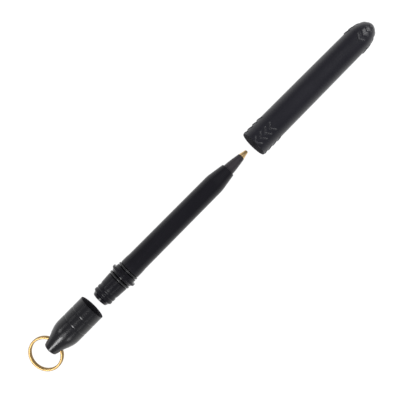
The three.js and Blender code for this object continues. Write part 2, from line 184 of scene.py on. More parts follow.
# Raised chevrons on the cap, with their tips towards its mouth
CHEVRON_COLUMNS = 4
CHEVRON_HEIGHT = 0.27
CHEVRON_PITCH = 2.65
CHEVRON_REACH = 2.25            # from the tip's middle to an arm's end, across
CHEVRON_SWEEP = 2.0             # the same, along the cap
CHEVRON_TIP = 1.3               # length of the ridge at its tip
CHEVRON_ARM = 1.0               # length of the ridge at an arm's end
CHEVRON_FACE = 0.7              # length of its front slope
TOP_CHEVRON_FACE = 0.55
CHEVRON_BACK = 0.5              # length of its back slope
CHEVRON_END = 0.4               # length of the slope at an arm's end
CHEVRON_TIP_ROUND = 0.08        # of the tip, as a share of the reach
CHEVRON_TURN = 3
CHEVRON_ROW_STEP = 0.1
MOUTH_CHEVRON_PLACE = -0.6      # the cap's mouth cuts the first row
MOUTH_CHEVRON_COUNT = 4
TOP_CHEVRON_INSET = 11.5
TOP_CHEVRON_COUNT = 4
TOP_CHEVRON_NARROWING = 0.85

# End cap, from its mouth to its nose
END_CAP_SEAL_BORE = 5.0
END_CAP_SEAL_DEPTH = 3.2
END_CAP_BORE_STEP = 0.8
END_CAP_BORE = 4.85
END_CAP_BORE_DEPTH = 13.55
END_CAP_BODY_LENGTH = 14.45
END_CAP_NOSE_LENGTH = 8.15
END_CAP_NOSE_RADIUS = 2.95
END_CAP_SHOULDER_ROUND = 12.0
END_CAP_TIP_LENGTH = 0.95
NOSE_ROWS_START = 0.42          # share of the nose's side at the first of its rows
NOSE_ROWS_SPAN = 0.53           # share of it from the first row to the last
FINE_GROOVES = (5.1, 9.55)
FINE_GROOVE_WIDTH = 0.7
FINE_GROOVE_DEPTH = 0.13
RING_HOLE_RADIUS = 1.6
RING_HOLE_FLARE = 0.7
HOLE_FLARE_ANGLE = 70
SHARP_ANGLE = 35

# Key ring: a split ring of flat wire in two turns that all but touch
WIRE_WIDTH = 1.05
WIRE_HEIGHT = 0.8
WIRE_ROUND = 0.34
WIRE_TUCK_ANGLE = 0.5           # of the tapered last step at each end of the wire
WIRE_TUCK_SCALE = 0.8
TURN_SPACING = 0.82
RING_DROOP = 17
RING_END_ANGLE = 0
CROSSOVER_HALF_ANGLE = 14
WIRE_END_ANGLE = 19

# Plastic finishes: depths of relief, and how far roughness strays from its middle
SINK_DEPTH = 0.02
SCRATCH_DEPTH = 0.0003
WAVE_DEPTH = 0.004
SATIN_ROUGHNESS_SPREAD = (-0.05, 0.05)
SMOOTH_ROUGHNESS_SPREAD = (-0.012, 0.018)

# Finish of the end faces and inner walls at both caps' mouths. The inner walls' paler colour is painted
# light, which stands in for the light that reaches into the mouths.
DULL_DEPTH = 0.12
MATT_AND_PAINTED_LIGHT_DEPTH = 7.0
MATT_AND_PAINTED_LIGHT_FADE = 1.0
INSIDE_PAINTED_LIGHT_COLOR = (0.030, 0.029, 0.033)
MATT_ROUGHNESS = 0.8

# Middle range of a noise texture's values
NOISE_LOW = 0.3
NOISE_HIGH = 0.7

# Numbers of a Mix node's two inputs and its output, for each kind of value
MIX_SOCKETS = {"FLOAT": (2, 3, 0), "RGBA": (6, 7, 2)}

# Floor in metres, and studio surroundings as colours by height
FLOOR_SIDE = 4.0
FLOOR_COLOR = (0.85, 0.85, 0.85)
FLOOR_GLOW = 1.2
FLOOR_GLOW_SHARE = 0.8
SKY_HORIZON = (0.40, 0.40, 0.43)
SKY_MIDDLE = (0.30, 0.30, 0.33)
SKY_TOP = (0.32, 0.32, 0.36)
SKY_MIDDLE_PLACE = 0.45
SKY_TOP_PLACE = 0.95

# Lamps: name, angle from overhead, azimuth, width and length in metres, brightness
LAMP_DISTANCE = 0.6
LAMPS = (
    ("rear_softbox", 54, 180, 0.15, 0.13, 16.0),
    ("rear_middle_softbox", 37, 180, 0.30, 0.12, 2.2),
    ("rear_high_softbox", 26, 180, 0.14, 0.08, 5.0),
    ("front_high_softbox", 26, 0, 1.0, 0.14, 0.15),
    ("front_softbox", 62, 0, 0.30, 0.20, 7.0),
)
SIDE_LAMPS = (
    ("softbox", 78, 90, 0.7, 0.16, 0.4),
    ("rear_softbox", 57, 126, 0.17, 0.17, 2.8),
)

# Camera
CAMERA_PLACE = (41.67, -0.48, 230.37)
CAMERA_TILT = 3.5
CAMERA_ROLL = 45.24
CAMERA_LENS = 51.93
CAMERA_SENSOR_WIDTH = 36


def rounded(outline):
    """The outline's [x, radius] points, with an arc at each corner that has a third
    number, the arc's radius."""
    points = []
    for i, (x, radius, *arc) in enumerate(outline):
        corner = Vector((x, radius))
        if not arc:
            points.append(corner)
            continue
        before = Vector(outline[i - 1][:2]) - corner
        after = Vector(outline[(i + 1) % len(outline)][:2]) - corner
        half = before.angle(after) / 2
        most = LARGEST_ROUND_SHARE * min(before.length, after.length)
        reach = min(arc[0] / math.tan(half), most)
        size = reach * math.tan(half)
        middle = before.normalized() + after.normalized()
        centre = corner + middle.normalized() * (size / math.sin(half))
        start = corner + before.normalized() * reach - centre
        end = corner + after.normalized() * reach - centre
        turn = start.angle_signed(end)
        for k in range(ROUND_STEPS + 1):
            points.append(centre + Matrix.Rotation(-turn * k / ROUND_STEPS, 2) @ start)
    return points


def curve(start, end, steps):
    """Points of a quarter ellipse, level at its start and steep at its end."""
    (x0, r0), (x1, r1) = start, end
    angles = [math.pi / 2 * i / steps for i in range(steps + 1)]
    return [(x0 + (x1 - x0) * math.sin(a), r0 + (r1 - r0) * (1 - math.cos(a))) for a in angles]


def new_object(name, bm):
    bmesh.ops.recalc_face_normals(bm, faces=bm.faces)
    for face in bm.faces:
        face.smooth = True
    mesh = bpy.data.meshes.new(name)
    bm.to_mesh(mesh)
    bm.free()
    made = bpy.data.objects.new(name, mesh)
    bpy.context.scene.collection.objects.link(made)
    return made


def even_normals(made):
    """Large faces keep their own direction, so that only the rounded edges shade."""
    modifier = made.modifiers.new("even_normals", "WEIGHTED_NORMAL")
    modifier.keep_sharp = True
    return made


def join_rings(bm, a, b):
    """Faces between two rings of vertices. A ring may be a single point on the axis."""
    count = max(len(a), len(b))
    if count == 1:
        return
    for k in range(count):
        n = (k + 1) % count
        if len(a) == 1:
            bm.faces.new((a[0], b[k], b[n]))
        elif len(b) == 1:
            bm.faces.new((a[k], b[0], a[n]))
        else:
            bm.faces.new((a[k], b[k], b[n], a[n]))


def turned(name, points, facets, loop=False, relief=None):
    """A piece turned round X from [x, radius] points. relief(x, radius, angle) gives
    the height by which the outside, which runs towards +X, stands out."""
    bm = bmesh.new()
    angles = [2 * math.pi * k / facets for k in range(facets)]
    rings = []
    for i, (x, radius) in enumerate(points):
        if radius < AXIS_RADIUS:
            rings.append([bm.verts.new((x * MM, 0, 0))])
            continue
        along = Vector(points[min(i + 1, len(points) - 1)]) - Vector(points[max(i - 1, 0)])
        out = Vector((-along.y, along.x)).normalized()
        ring = []
        for angle in angles:
            height = relief(x, radius, angle) if relief and along.x > 0 else 0
            side = radius + out.y * height
            place = Vector((x + out.x * height, side * math.cos(angle), side * math.sin(angle)))
            ring.append(bm.verts.new(place * MM))
        rings.append(ring)
    if loop:
        rings.append(rings[0])
    for a, b in zip(rings, rings[1:]):
        join_rings(bm, a, b)
    return new_object(name, bm)


def finished(piece, body, nodes, material):
    """Gives a fine piece its material and its place in the frame."""
    piece.data.materials.clear()
    piece.data.materials.append(material)
    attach(piece, body)
    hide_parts(*nodes)
    return piece


def seal_groove(node):
    """Rear edge, front edge and floor radius of the groove that a seal ring sits in."""
    low, high = box(node)
    thickness = high.x - low.x
    return low.x - SEAT_GAP, high.x + SEAT_GAP, high.y - thickness - SEAT_GAP


def make_barrel():
    rear_start, rear_end, rear_floor = seal_groove("rear_seal_ring")
    front_start, front_end, front_floor = seal_groove("front_seal_ring")
    root = SPIGOT_RADIUS - RIB_HEIGHT
    flare_start = RIB_PLACE + RIB_PITCH * RIB_COUNT + RIB_RUN_OUT
    foot_end = FLANGE_START + FLANGE_FOOT_LENGTH
    front_slope = curve((FLANGE_END, COLLAR_RADIUS), (FLANGE_TOP_END, FLANGE_RADIUS), FLANGE_STEPS)
    land_end = front_end + FRONT_LAND_LENGTH
    shoulder = BARREL_LENGTH - SHOULDER_LENGTH
    outline = [(0, 0), (0, REAR_FACE_RADIUS, EDGE_ROUND), (LEAD_IN_LENGTH, LEAD_IN_RADIUS, EDGE_ROUND)]
    for i in range(RIB_COUNT):
        start = RIB_PLACE + RIB_PITCH * i
        outline += [
            (start, SPIGOT_RADIUS, EDGE_ROUND),
            (start + RIB_LENGTH, SPIGOT_RADIUS, EDGE_ROUND),
            (start + RIB_LENGTH + RIB_SLOPE, root, EDGE_ROUND),
            (start + RIB_PITCH - RIB_SLOPE, root, EDGE_ROUND),
        ]
    outline += [
        (flare_start, SPIGOT_RADIUS, EDGE_ROUND),
        (rear_start, SPIGOT_END_RADIUS, EDGE_ROUND),
        (rear_start, rear_floor),
        (rear_end, rear_floor),
        (FLANGE_START, FLANGE_FOOT_RADIUS, EDGE_ROUND),
        (foot_end, FLANGE_FOOT_RADIUS + FLANGE_FOOT_RISE, FLANGE_HOLLOW_ROUND),
        (FLANGE_TOP_START, FLANGE_RADIUS, FLANGE_ROUND),
        (FLANGE_TOP_END, FLANGE_RADIUS, FLANGE_ROUND),
        *front_slope[-2::-1],
        (front_start, COLLAR_RADIUS, EDGE_ROUND),
        (front_start, front_floor),
        (front_end, front_floor),
        (front_end, FRONT_LAND_RADIUS, EDGE_ROUND),
        (land_end, FRONT_LAND_RADIUS, SHOULDER_ROUND),
        (land_end + FRONT_LAND_FALL, BARREL_RADIUS, SHOULDER_ROUND),
        (shoulder, BARREL_RADIUS - BARREL_TAPER, SHOULDER_ROUND),
        (BARREL_LENGTH, FRONT_RIM_RADIUS, EDGE_ROUND),
        (BARREL_LENGTH, BORE_RADIUS, EDGE_ROUND),
        (BORE_END_WALL, BORE_RADIUS, EDGE_ROUND),
        (BORE_END_WALL, 0),
    ]
    return even_normals(turned("barrel_body", rounded(outline), LARGE_FACETS))


def make_seal(name, node):
    """A rubber ring of round section."""
    low, high = box(node)
    size = (high.x - low.x) / 2
    middle = (low.x + high.x) / 2
    angles = [2 * math.pi * k / SECTION_STEPS for k in range(SECTION_STEPS)]
    points = [(middle - size * math.cos(a), high.y - size + size * math.sin(a)) for a in angles]
    return turned(name, points, LARGE_FACETS, loop=True)


def make_nose_cone():
    base = BARREL_LENGTH + TOUCH_GAP
    spigot_end = BARREL_LENGTH + SEAT_GAP - CONE_SPIGOT_LENGTH
    socket_radius = POINT_SHANK_RADIUS + SEAT_GAP
    socket_end = POINT_REAR - SEAT_GAP
    outline = [
        (CONE_REAR, INK_CHANNEL_RADIUS),
        (CONE_REAR, BARB_RADIUS, EDGE_ROUND),
        (spigot_end, BARB_RADIUS),
        (spigot_end, CONE_SPIGOT_RADIUS, EDGE_ROUND),
        (base, CONE_SPIGOT_RADIUS),
        (base, CONE_RADIUS, EDGE_ROUND),
    ]
    for i in range(1, CONE_STEPS):
        share = i / CONE_STEPS
        lost = (CONE_RADIUS - CONE_FRONT_RADIUS) * share ** CONE_CURVE
        outline.append((base + (CONE_FRONT - base) * share, CONE_RADIUS - lost))
    outline += [
        (CONE_FRONT, CONE_FRONT_RADIUS, EDGE_ROUND),
        (CONE_FRONT, socket_radius, EDGE_ROUND),
        (socket_end, socket_radius),
        (socket_end, INK_CHANNEL_RADIUS),
    ]
    return even_normals(turned("nose_cone_body", rounded(outline), SMALL_FACETS, loop=True))


def make_point():
    base = CONE_FRONT + TOUCH_GAP
    seat = BALL_RADIUS + BALL_SEAT_GAP
    lip = math.acos((POINT_FRONT - BALL_CENTRE) / seat)
    channel = math.pi - math.asin(POINT_CHANNEL_RADIUS / seat)
    outline = [
        (POINT_REAR, POINT_CHANNEL_RADIUS),
        (POINT_REAR, POINT_SHANK_RADIUS, FINE_ROUND),
        (base, POINT_SHANK_RADIUS),
        (base, POINT_BASE_RADIUS, FINE_ROUND),
        (base + POINT_BASE_LENGTH, POINT_BASE_RADIUS, EDGE_ROUND),
        (POINT_FRONT, POINT_LIP_RADIUS, FINE_ROUND),
    ]
    for i in range(SEAT_STEPS + 1):
        angle = lip + (channel - lip) * i / SEAT_STEPS
        outline.append((BALL_CENTRE + seat * math.cos(angle), seat * math.sin(angle)))
    return even_normals(turned("brass_point", rounded(outline), SMALL_FACETS, loop=True))


def make_ball():
    angles = [math.pi * i / SECTION_STEPS for i in range(SECTION_STEPS + 1)]
    points = [(BALL_CENTRE - BALL_RADIUS * math.cos(a), BALL_RADIUS * math.sin(a)) for a in angles]
    return turned("point_ball", points, BALL_FACETS)


def make_ink_tube():
    low, high = box("ink_tube")
    inner = BARB_RADIUS + SEAT_GAP
    outline = [
        (low.x, inner, FINE_ROUND),
        (low.x, high.y, FINE_ROUND),
        (high.x, high.y, FINE_ROUND),
        (high.x, inner, FINE_ROUND),
    ]
    return even_normals(turned("refill_tube", rounded(outline), SMALL_FACETS, loop=True))


def make_filling(name, node):
    """A column of liquid whose two ends are hollowed by the tube's wall."""
    low, high = box(node)
    hollow = high.y * MENISCUS_SHARE
    rear = []
    for i in range(MENISCUS_STEPS):
        angle = math.pi / 2 * i / MENISCUS_STEPS
        rear.append((low.x + hollow * math.cos(angle), high.y * i / MENISCUS_STEPS))
    front = [(high.x - (x - low.x), radius) for x, radius in reversed(rear)]
    return turned(name, rear + [(low.x, high.y), (high.x, high.y)] + front, SMALL_FACETS)


def cap_side(along):
    """Radius of the cap's outer side, from its mouth to its dome."""
    return CAP_MOUTH_RADIUS - CAP_TAPER * (along / CAP_STRAIGHT_LENGTH) ** CAP_TAPER_CURVE


def chevron_rows():
    """Place from the mouth, scale and front face's length of each ring of chevrons."""
    rows = []
    for i in range(MOUTH_CHEVRON_COUNT):
        rows.append((MOUTH_CHEVRON_PLACE + CHEVRON_PITCH * i, 1, CHEVRON_FACE))
    for i in range(TOP_CHEVRON_COUNT):
        place = CAP_LENGTH - TOP_CHEVRON_INSET + CHEVRON_PITCH * i
        scale = TOP_CHEVRON_NARROWING ** i
        rows.append((place, scale, TOP_CHEVRON_FACE * scale))
    return rows


CHEVRON_ROWS = chevron_rows()


def ramp(share):
    """Rises smoothly from 0 to 1 with the share, and stays level outside that range."""
    share = min(max(share, 0), 1)
    return share * share * (3 - 2 * share)


def rounded_share(share):
    """Share of a chevron's sweep, with a rounded tip in place of a crease."""
    full = math.hypot(1, CHEVRON_TIP_ROUND) - CHEVRON_TIP_ROUND
    return (math.hypot(share, CHEVRON_TIP_ROUND) - CHEVRON_TIP_ROUND) / full


def chevron_relief(x, radius, angle):
    """Height of the chevrons over the cap's side. Each is a ridge with a long front face
    and a shorter back."""
    along = x - CAP_MOUTH
    column = 2 * math.pi / CHEVRON_COLUMNS
    turn = math.radians(CHEVRON_TURN)
    across = abs((angle - turn + column / 2) % column - column / 2) * radius
    if across > CHEVRON_REACH:
        return 0
    for place, scale, face_length in CHEVRON_ROWS:
        reach = CHEVRON_REACH * scale
        share = rounded_share(across / reach)
        front = place + CHEVRON_SWEEP * scale * share
        back = place + CHEVRON_TIP + (CHEVRON_SWEEP * scale + CHEVRON_ARM - CHEVRON_TIP) * share
        if share < 1 and front < along < back:
            face = (along - front) / face_length
            fall = (back - along) / (CHEVRON_BACK * scale)
            end = (reach - across) / CHEVRON_END
            rim = (along - RIM_ROUND) / CHEVRON_FACE
            return CHEVRON_HEIGHT * scale * ramp(min(face, fall, end, rim))
    return 0


def steps_between(start, end, step):
    """Even steps of about the size given, with the end and without the start."""
    count = max(1, round((end - start) / step))
    return [start + (end - start) * (i + 1) / count for i in range(count)]


def cap_outside():
    """Points of the cap's outer side and dome, close together where chevrons stand."""
    last_mouth = MOUTH_CHEVRON_PLACE + CHEVRON_PITCH * (MOUTH_CHEVRON_COUNT - 1)
    mouth_end = last_mouth + CHEVRON_SWEEP + CHEVRON_ARM + CHEVRON_ROW_STEP
    first_top = CAP_LENGTH - TOP_CHEVRON_INSET - CHEVRON_ROW_STEP
    places = [RIM_ROUND]
    places += steps_between(places[-1], mouth_end, CHEVRON_ROW_STEP)
    places += steps_between(mouth_end, first_top, CAP_MOUTH_RADIUS)
    places += steps_between(first_top, CAP_STRAIGHT_LENGTH, CHEVRON_ROW_STEP)
    points = [(CAP_MOUTH + along, cap_side(along)) for along in places]
    dome_steps = round(CAP_DOME_LENGTH / CHEVRON_ROW_STEP)
    for i in range(1, dome_steps + 1):
        angle = math.pi / 2 * i / dome_steps
        along = CAP_STRAIGHT_LENGTH + CAP_DOME_LENGTH * math.sin(angle)
        radius = 0 if i == dome_steps else CAP_TOP_RADIUS * math.cos(angle)
        points.append((CAP_MOUTH + along, radius))
    return points


def cap_inside():
    """Points of the cap's bore, from the inside of its dome back to its mouth."""
    dome_length = CAP_DOME_LENGTH - CAP_TOP_WALL
    points = []
    for i in range(BORE_DOME_STEPS + 1):
        angle = math.pi / 2 * (1 - i / BORE_DOME_STEPS)
        along = CAP_STRAIGHT_LENGTH + dome_length * math.sin(angle)
        radius = 0 if i == 0 else (CAP_TOP_RADIUS - CAP_WALL) * math.cos(angle)
        points.append((CAP_MOUTH + along, radius))
    bore_start = CAP_SEAL_DEPTH + CAP_BORE_STEP
    points.append((CAP_MOUTH + bore_start, cap_side(bore_start) - CAP_WALL))
    points.append((CAP_MOUTH + CAP_SEAL_DEPTH, CAP_SEAL_BORE))
    points.append((CAP_MOUTH + MOUTH_BEVEL_DEPTH, CAP_SEAL_BORE))
    return points


def cap_rim():
    """Points of the rounded rim at the cap's mouth, from its inside to its outside."""
    angles = [math.pi / 2 * i / ROUND_STEPS for i in range(ROUND_STEPS)]
    lip = RIM_ROUND
    bore = CAP_SEAL_BORE + MOUTH_BEVEL
    inner = [(lip * (1 - math.sin(a)), bore + lip * (1 - math.cos(a))) for a in angles]
    outer = [(lip * (1 - math.cos(a)), CAP_MOUTH_RADIUS - lip * (1 - math.sin(a))) for a in angles]
    return [(CAP_MOUTH + along, radius) for along, radius in inner + outer]


def make_cap():
    points = cap_outside() + cap_inside() + cap_rim()
    return even_normals(turned("cap_body", points, CAP_FACETS, loop=True, relief=chevron_relief))


def end_cap_outline():
    """Distances from the end cap's mouth, with radii and corner arcs."""
    outline = [
        (MOUTH_BEVEL_DEPTH, END_CAP_SEAL_BORE, EDGE_ROUND),
        (0, END_CAP_SEAL_BORE + MOUTH_BEVEL, RIM_ROUND),
        (0, END_CAP_RADIUS, RIM_ROUND),
    ]
    half = FINE_GROOVE_WIDTH / 2
    for place in FINE_GROOVES:
        outline += [
            (place - half, END_CAP_RADIUS, EDGE_ROUND),
            (place, END_CAP_RADIUS - FINE_GROOVE_DEPTH, EDGE_ROUND),
            (place + half, END_CAP_RADIUS, EDGE_ROUND),
        ]
    nose_end = END_CAP_BODY_LENGTH + END_CAP_NOSE_LENGTH
    outline.append((END_CAP_BODY_LENGTH, END_CAP_RADIUS, END_CAP_SHOULDER_ROUND))
    outline += nose_rows((END_CAP_BODY_LENGTH, END_CAP_RADIUS), (nose_end, END_CAP_NOSE_RADIUS))
    for i in range(TIP_STEPS + 1):
        angle = math.pi / 2 * i / TIP_STEPS
        radius = 0 if i == TIP_STEPS else END_CAP_NOSE_RADIUS * math.cos(angle)
        outline.append((nose_end + END_CAP_TIP_LENGTH * math.sin(angle), radius))
    outline += [
        (END_CAP_BORE_DEPTH, 0),
        (END_CAP_BORE_DEPTH, END_CAP_BORE, EDGE_ROUND),
        (END_CAP_SEAL_DEPTH + END_CAP_BORE_STEP, END_CAP_BORE),
        (END_CAP_SEAL_DEPTH, END_CAP_SEAL_BORE),
    ]
    return outline


def nose_rows(start, end):
    """Points along the nose's side. They leave out its first part, where the rounded
    shoulder lies."""
    shares = [NOSE_ROWS_START + NOSE_ROWS_SPAN * i / NOSE_STEPS for i in range(NOSE_STEPS + 1)]
    (x0, r0), (x1, r1) = start, end
    return [(x0 + (x1 - x0) * s, r0 + (r1 - r0) * s) for s in shares]


def hole_side():
    """The end cap's radius where the key ring's hole comes out of its side."""
    along = END_CAP_MOUTH - RING_HOLE - END_CAP_BODY_LENGTH
    return END_CAP_RADIUS - (END_CAP_RADIUS - END_CAP_NOSE_RADIUS) * along / END_CAP_NOSE_LENGTH


def hole_cutter():
    """A rod along Y through the key ring's hole, with flared ends."""
    side = hole_side()
    flare = RING_HOLE_FLARE
    steepest = math.radians(HOLE_FLARE_ANGLE)
    angles = [steepest * i / HOLE_FLARE_STEPS for i in range(HOLE_FLARE_STEPS + 1)]
    mouth = [
        (side - flare + flare * math.sin(a), RING_HOLE_RADIUS + flare * (1 - math.cos(a)))
        for a in angles
    ]
    mouth += [(side + flare, RING_HOLE_RADIUS + 2 * flare), (side + flare, 0)]
    points = [(-y, radius) for y, radius in reversed(mouth)] + mouth
    cutter = turned("ring_hole_cutter", points, SMALL_FACETS)
    turn = Matrix.Rotation(math.pi / 2, 4, "Z")
    cutter.data.transform(Matrix.Translation((RING_HOLE * MM, 0, 0)) @ turn)
    return cutter


def make_end_cap():
    points = [(END_CAP_MOUTH - along, radius) for along, radius in rounded(end_cap_outline())]
    made = turned("end_cap_body", points, LARGE_FACETS, loop=True)
    cutter = hole_cutter()
    cut = made.modifiers.new("ring_hole", "BOOLEAN")
    cut.operation = "DIFFERENCE"
    cut.solver = "EXACT"
    cut.object = cutter
    graph = bpy.context.evaluated_depsgraph_get()
    mesh = bpy.data.meshes.new_from_object(made.evaluated_get(graph))
    made.modifiers.clear()
    made.data = mesh
    bpy.data.objects.remove(cutter)
    mesh.set_sharp_from_angle(angle=math.radians(SHARP_ANGLE))
    return even_normals(made)


def wire_section():
    """Points of the wire's section, a rectangle with round corners, as [out, up]."""
    half_width = WIRE_WIDTH / 2 - WIRE_ROUND
    half_height = WIRE_HEIGHT / 2 - WIRE_ROUND
    points = []
    for quarter, (x, y) in enumerate(((1, 1), (-1, 1), (-1, -1), (1, -1))):
        for i in range(WIRE_CORNER_STEPS + 1):
            angle = math.pi / 2 * (quarter + i / WIRE_CORNER_STEPS)
            out = x * half_width + WIRE_ROUND * math.cos(angle)
            points.append((out, y * half_height + WIRE_ROUND * math.sin(angle)))
    return points


def wire_layer(angle):
    """Height of the wire over the ring's middle plane at an angle from the crossover."""
    half = math.radians(CROSSOVER_HALF_ANGLE)
    return TURN_SPACING * (ramp((angle + half) / (2 * half)) - 0.5)


def make_key_ring():
    """Two turns of wire, level round the origin, then moved to hang in the hole."""
    radius = RING_OUTER_RADIUS - WIRE_WIDTH / 2
    end = 2 * math.pi - math.radians(WIRE_END_ANGLE)
    tuck = math.radians(WIRE_TUCK_ANGLE)
    rows = [(-end + 2 * end * i / RING_STEPS, 1) for i in range(RING_STEPS + 1)]
    rows = [(-end - tuck, WIRE_TUCK_SCALE), *rows, (end + tuck, WIRE_TUCK_SCALE)]
    section = wire_section()
    bm = bmesh.new()
    rings = []
    for angle, scale in rows:
        turn = math.radians(RING_END_ANGLE) + angle
        up = wire_layer(angle)
        ring = []
        for out, rise in section:
            reach = radius + out * scale
            place = Vector((reach * math.cos(turn), reach * math.sin(turn), up + rise * scale))
            ring.append(bm.verts.new(place * MM))
        rings.append(ring)
    for a, b in zip(rings, rings[1:]):
        join_rings(bm, a, b)
    bm.faces.new(rings[0])
    bm.faces.new(rings[-1])
    made = new_object("split_ring", bm)
    sag = radius - math.sqrt(radius ** 2 - hole_side() ** 2)
    droop = Matrix.Rotation(-math.radians(RING_DROOP), 4, "Y")
    hang = Matrix.Translation((RING_HOLE * MM, 0, 0)) @ droop
    made.data.transform(hang @ Matrix.Translation(((sag / 2 - radius) * MM, 0, 0)))
    return even_normals(made)


def feed(tree, value, socket):
    """Links a node's output to the socket, or sets the socket to a plain value."""
    if isinstance(value, bpy.types.NodeSocket):
        tree.links.new(value, socket)
    else:
        socket.default_value = value


def calculated(tree, operation, first, second):
    node = tree.nodes.new("ShaderNodeMath")
    node.operation = operation
    feed(tree, first, node.inputs[0])
    feed(tree, second, node.inputs[1])
    return node.outputs[0]


def mixed(tree, kind, factor, first, second):
    """The first value where the factor is 0, and the second where it is 1."""
    node = tree.nodes.new("ShaderNodeMix")
    node.data_type = kind
    first_input, second_input, result = MIX_SOCKETS[kind]
    tree.links.new(factor, node.inputs["Factor"])
    feed(tree, first, node.inputs[first_input])
    feed(tree, second, node.inputs[second_input])
    return node.outputs[result]


def spread(tree, value, start, end, first, second):
    """Turns values from start to end into values from first to second."""
    node = tree.nodes.new("ShaderNodeMapRange")
    node.inputs["From Min"].default_value = start
    node.inputs["From Max"].default_value = end
    node.inputs["To Min"].default_value = first
    node.inputs["To Max"].default_value = second
    tree.links.new(value, node.inputs["Value"])
    return node.outputs["Result"]


def fade_out(tree, value, start, end):
    """A share that falls from 1 at the start to 0 at the end, both in millimetres."""
    return spread(tree, value, start * MM, end * MM, 1, 0)


class Finish:
    """A material under construction, with its nodes one function call each."""

    def __init__(self, name, color, roughness, metallic=0.0, specular=0.5):
        self.material = bpy.data.materials.new(name)
        self.material.use_nodes = True
        self.tree = self.material.node_tree
        self.shader = self.tree.nodes["Principled BSDF"]
        self.shader.inputs["Base Color"].default_value = (*color, 1)
        self.shader.inputs["Roughness"].default_value = roughness
        self.shader.inputs["Metallic"].default_value = metallic
        self.shader.inputs["Specular IOR Level"].default_value = specular
        self.place = self.tree.nodes.new("ShaderNodeTexCoord").outputs["Object"]
        self.height = None

    def made_so_far(self, name):
        """The output that now feeds one of the shader's inputs."""
        return self.shader.inputs[name].links[0].from_socket

    def noise(self, size, detail, stretch=(1, 1, 1)):
        """Noise whose grains are size millimetres across, longer along each axis by
        the stretch given. Its middle range runs from NOISE_LOW to NOISE_HIGH."""
        mapping = self.tree.nodes.new("ShaderNodeMapping")
        mapping.inputs["Scale"].default_value = [1 / (size * MM * s) for s in stretch]
        self.tree.links.new(self.place, mapping.inputs["Vector"])
        noise = self.tree.nodes.new("ShaderNodeTexNoise")
        noise.inputs["Scale"].default_value = 1
        noise.inputs["Detail"].default_value = detail
        self.tree.links.new(mapping.outputs["Vector"], noise.inputs["Vector"])
        return noise.outputs["Fac"]

    def roughness(self, value, low, high):
        varied = spread(self.tree, value, NOISE_LOW, NOISE_HIGH, low, high)
        self.tree.links.new(varied, self.shader.inputs["Roughness"])

    def color(self, value, first, second):
        share = spread(self.tree, value, NOISE_LOW, NOISE_HIGH, 0, 1)
        mix = mixed(self.tree, "RGBA", share, (*first, 1), (*second, 1))
        self.tree.links.new(mix, self.shader.inputs["Base Color"])

    def bump(self, value, depth):
        """Relief of a depth in millimetres, added to the relief made before."""
        bump = self.tree.nodes.new("ShaderNodeBump")
        bump.inputs["Distance"].default_value = depth * MM
        bump.inputs["Strength"].default_value = 1
        self.tree.links.new(value, bump.inputs["Height"])
        if self.height is not None:
            self.tree.links.new(self.height, bump.inputs["Normal"])
        self.height = bump.outputs["Normal"]
        self.tree.links.new(self.height, self.shader.inputs["Normal"])


def dull_mouth(finish, mouth, inwards):
    """Makes the end face at a cap's mouth as dull as the mould left it. Inwards is the
    direction along X, 1 or -1, from the mouth into the cap."""
    tree = finish.tree
    parts = tree.nodes.new("ShaderNodeSeparateXYZ")
    tree.links.new(finish.place, parts.inputs[0])
    start = mouth + RIM_ROUND * inwards / 2
    at_end_face = fade_out(tree, parts.outputs["X"], start, mouth + DULL_DEPTH * inwards)
    dullest = calculated(tree, "MAXIMUM", finish.made_so_far("Roughness"), at_end_face)
    tree.links.new(dullest, finish.shader.inputs["Roughness"])


def matt_inside_with_painted_light(finish, mouth, inwards, bore):
    """Makes the wall inside a cap's mouth matt, as the mould's core left it, and paints it paler:
    painted light that stands in for the light reaching into the mouth.
    """
    tree = finish.tree
    parts = tree.nodes.new("ShaderNodeSeparateXYZ")
    tree.links.new(finish.place, parts.inputs[0])
    across = tree.nodes.new("ShaderNodeCombineXYZ")
    tree.links.new(parts.outputs["Y"], across.inputs["Y"])
    tree.links.new(parts.outputs["Z"], across.inputs["Z"])
    radius = tree.nodes.new("ShaderNodeVectorMath")
    radius.operation = "LENGTH"
    tree.links.new(across.outputs[0], radius.inputs[0])
    lip = bore + MOUTH_BEVEL
    near_axis = fade_out(tree, radius.outputs["Value"], lip - RIM_ROUND, lip)
    end = mouth + MATT_AND_PAINTED_LIGHT_DEPTH * inwards
    near_mouth = fade_out(tree, parts.outputs["X"], end, end + MATT_AND_PAINTED_LIGHT_FADE * inwards)
    inside = calculated(tree, "MULTIPLY", near_axis, near_mouth)
    # Paler colour inside the mouth: painted light, not the plastic's own colour.
    color = mixed(tree, "RGBA", inside, finish.made_so_far("Base Color"), (*INSIDE_PAINTED_LIGHT_COLOR, 1))
    tree.links.new(color, finish.shader.inputs["Base Color"])
    rough = mixed(tree, "FLOAT", inside, finish.made_so_far("Roughness"), MATT_ROUGHNESS)
    tree.links.new(rough, finish.shader.inputs["Roughness"])


def satin_plastic(name, color, lighter, rough, specular, grain_depth):
    """Moulded plastic with the fine grain of a spark-eroded mould."""
    smoother, rougher = SATIN_ROUGHNESS_SPREAD
    finish = Finish(name, color, rough, specular=specular)
    finish.color(finish.noise(6, detail=3, stretch=(3, 1, 1)), color, lighter)
    finish.roughness(finish.noise(2.5, detail=4, stretch=(2, 1, 1)), rough + smoother, rough + rougher)
    finish.bump(finish.noise(0.16, detail=3), grain_depth)
    finish.bump(finish.noise(4, detail=1, stretch=(4, 1, 1)), SINK_DEPTH)
    return finish


def smooth_plastic(name, color, lighter, rough, specular):
    """Polished moulded plastic with faint handling marks along the pen."""
    smoother, rougher = SMOOTH_ROUGHNESS_SPREAD
    finish = Finish(name, color, rough, specular=specular)
    finish.color(finish.noise(5, detail=2, stretch=(4, 1, 1)), color, lighter)
    finish.roughness(finish.noise(1.2, detail=3, stretch=(4, 1, 1)), rough + smoother, rough + rougher)
    finish.bump(finish.noise(0.3, detail=2, stretch=(10, 1, 1)), SCRATCH_DEPTH)
    finish.bump(finish.noise(5, detail=1, stretch=(5, 1, 1)), WAVE_DEPTH)
    return finish


